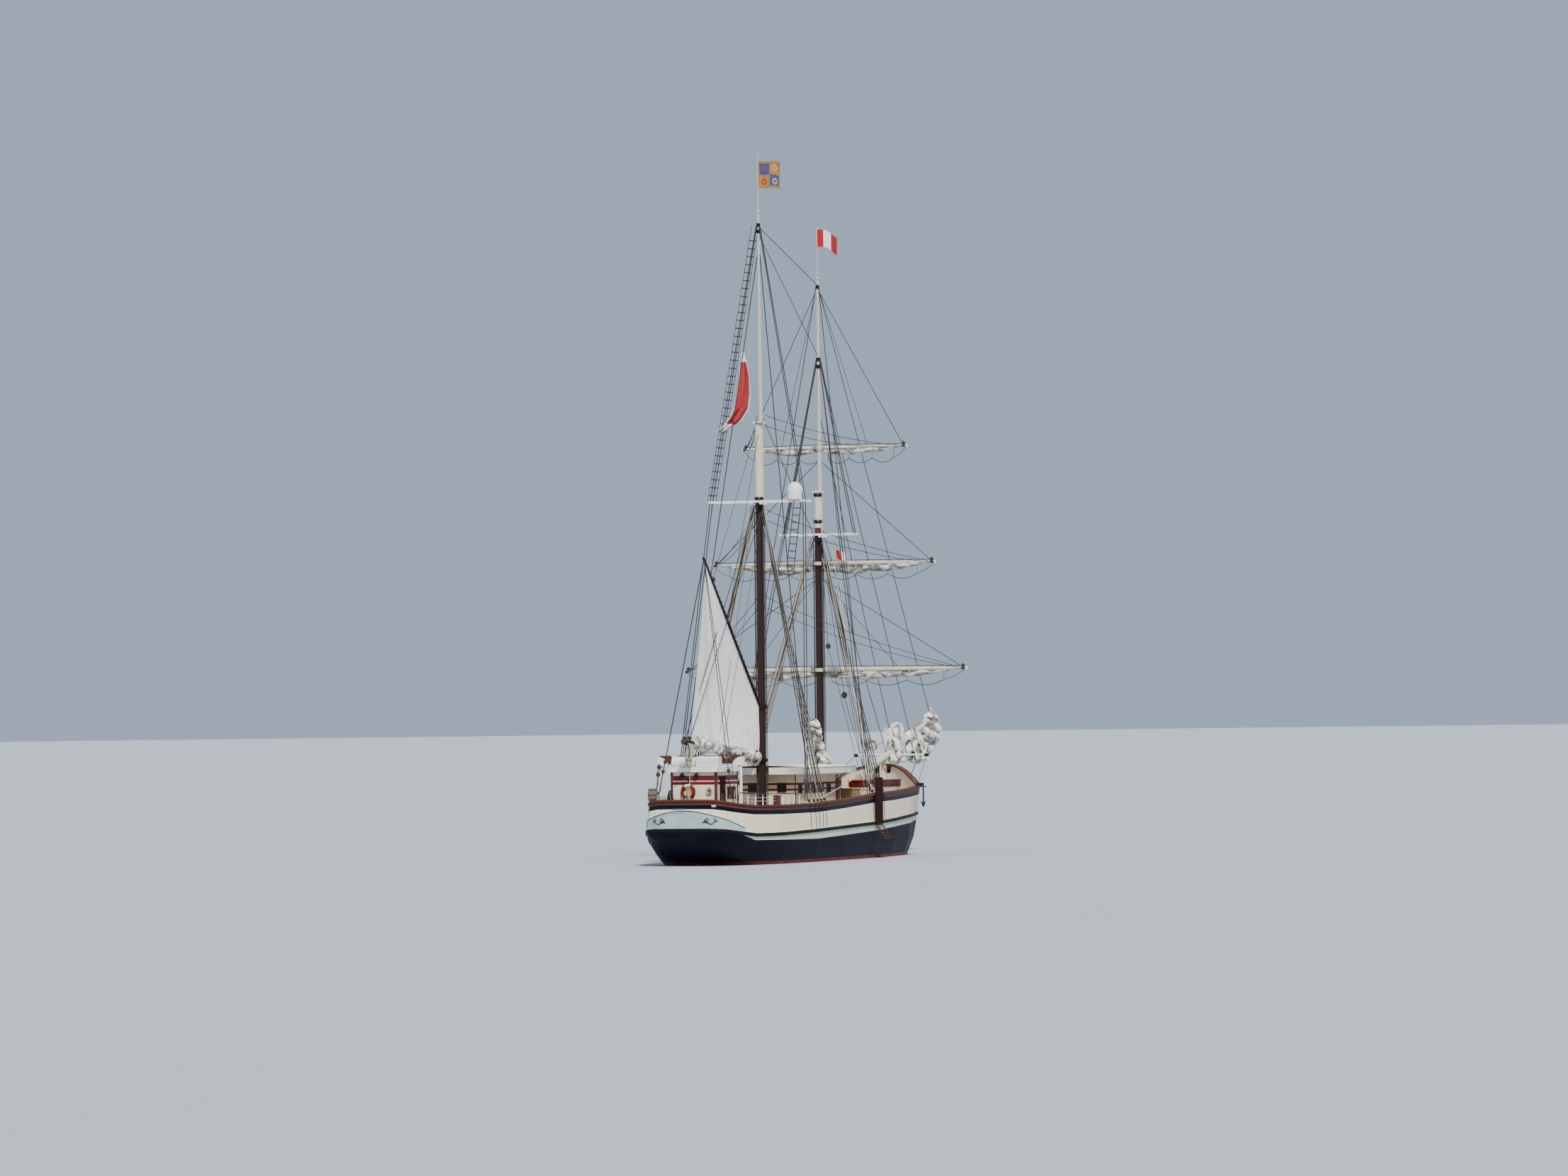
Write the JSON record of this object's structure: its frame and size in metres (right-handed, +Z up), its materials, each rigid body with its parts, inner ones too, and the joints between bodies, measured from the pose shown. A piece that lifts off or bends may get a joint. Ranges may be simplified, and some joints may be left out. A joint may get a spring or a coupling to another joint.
{
  "type": "two-masted brigantine tall ship",
  "caption": "Brigantine with square yards and furled sails on the foremast, a gaff mainsail, two deckhouses and a bowsprit, afloat.",
  "frame": {"origin": "waterline, on the centreline, amidships, 14 m forward of the transom", "axes": "+X towards the bow, +Y to port, +Z up"},
  "size_m": [35.4844, 14.7, 36.5],
  "materials": {
    "hull_paint": "gloss navy above a red boot-top",
    "underwater_paint": "matt antifouling",
    "cream_paint": "satin",
    "white_paint": "satin",
    "varnished_wood": "satin red-brown",
    "dark_wood": "satin dark brown",
    "spar_paint": "weathered cream",
    "mast_grey": "satin grey",
    "canvas": "matt sailcloth",
    "wire": "tarred",
    "bronze": "dull",
    "iron": "painted black",
    "gelcoat": "gloss white"
  },
  "bodies": {
    "ship": {"hull": "hull_paint", "keel": "underwater_paint", "stem": "hull_paint", "bulwark_port": "cream_paint", "bulwark_starboard": "cream_paint", "cap_rail_port": "varnished_wood", "cap_rail_starboard": "varnished_wood", "liferaft_port": "gelcoat", "liferaft_starboard": "gelcoat", "mooring_bitts_port": "iron", "mooring_bitts_starboard": "iron", "anchor_port": "iron", "anchor_starboard": "iron", "main_shrouds_port": "wire", "main_shrouds_starboard": "wire", "fore_shrouds_port": "wire", "fore_shrouds_starboard": "wire", "aft_house_walls": "cream_paint", "aft_house_roof": "white_paint", "mid_house_walls": "cream_paint", "mid_house_roof": "cream_paint", "hatch_coaming": "dark_wood", "deck_locker": "cream_paint", "gallows": "varnished_wood", "helm_box": "varnished_wood", "windlass_frame": "dark_wood", "gangway_board": "dark_wood", "boarding_ladder": "varnished_wood", "main_lower_mast": "dark_wood", "main_topmast": "mast_grey", "main_crosstrees": "white_paint", "radome": "gelcoat", "fore_lower_mast": "dark_wood", "fore_topmast": "mast_grey", "fore_crosstrees": "white_paint", "bowsprit": "dark_wood", "bowsprit_spreader": "white_paint", "furled_headsails": "canvas", "forestay": "wire", "fore_topmast_stay": "wire", "main_stay": "wire", "main_topmast_stays": "wire", "furled_staysail": "canvas"},
    "rudder": {"rudder": "underwater_paint"},
    "propeller": {"propeller": "bronze"},
    "helm_wheel": {"helm_wheel": "varnished_wood"},
    "boom_and_gaff": {"boom": "dark_wood", "gaff": "dark_wood", "mainsail": "canvas", "reefed_sail": "canvas"},
    "course_yard": {"course_yard": "spar_paint", "course_sail": "canvas"},
    "topsail_yard": {"topsail_yard": "spar_paint", "topsail_sail": "canvas"},
    "topgallant_yard": {"topgallant_yard": "spar_paint", "topgallant_sail": "canvas"},
    "aft_house_door": {"aft_house_door": "dark_wood"},
    "mid_house_door": {"mid_house_door": "varnished_wood"},
    "hatch_lid": {"hatch_lid": "varnished_wood"},
    "windlass_barrel": {"windlass_barrel": "iron"}
  },
  "joints": [
    {"name": "rudder_turn", "type": "hinge", "parent": "ship", "child": "rudder", "pos_m": [-12.28, 0, -1.2], "axis": [0, 0, 1], "range_deg": [-35, 35]},
    {"name": "propeller_spin", "type": "hinge", "parent": "ship", "child": "propeller", "pos_m": [-11.2, 0, -1.45], "axis": [1, 0, 0], "continuous": true},
    {"name": "wheel_turn", "type": "hinge", "parent": "ship", "child": "helm_wheel", "pos_m": [-8.77, 0, 2.76], "axis": [1, 0, 0], "range_deg": [-360, 360]},
    {"name": "boom_swing", "type": "hinge", "parent": "ship", "child": "boom_and_gaff", "pos_m": [-3.56, 0, 4.83], "axis": [0, 0, 1], "range_deg": [-40, 40]},
    {"name": "course_brace", "type": "hinge", "parent": "ship", "child": "course_yard", "pos_m": [4.65, 0, 9.15], "axis": [0, 0, 1], "range_deg": [-25, 25]},
    {"name": "topsail_brace", "type": "hinge", "parent": "ship", "child": "topsail_yard", "pos_m": [4.65, 0, 14.35], "axis": [0, 0, 1], "range_deg": [-25, 25]},
    {"name": "topgallant_brace", "type": "hinge", "parent": "ship", "child": "topgallant_yard", "pos_m": [4.98, 0, 20.05], "axis": [0, 0, 1], "range_deg": [-25, 25]},
    {"name": "aft_door_hinge", "type": "hinge", "parent": "ship", "child": "aft_house_door", "pos_m": [-11.606, -1.13, 3.05], "axis": [0, 0, 1], "range_deg": [0, 100]},
    {"name": "mid_door_hinge", "type": "hinge", "parent": "ship", "child": "mid_house_door", "pos_m": [2.856, -1.4, 3.2], "axis": [0, 0, -1], "range_deg": [0, 100]},
    {"name": "hatch_hinge", "type": "hinge", "parent": "ship", "child": "hatch_lid", "pos_m": [7.93, 0, 3.0204], "axis": [0, 1, 0], "range_deg": [0, 100]},
    {"name": "windlass_turn", "type": "hinge", "parent": "ship", "child": "windlass_barrel", "pos_m": [10, 0, 3.02], "axis": [0, 1, 0], "continuous": true}
  ],
  "couplings": [
    {"joint": "wheel_turn", "follows": "rudder_turn", "ratio": 10}
  ]
}
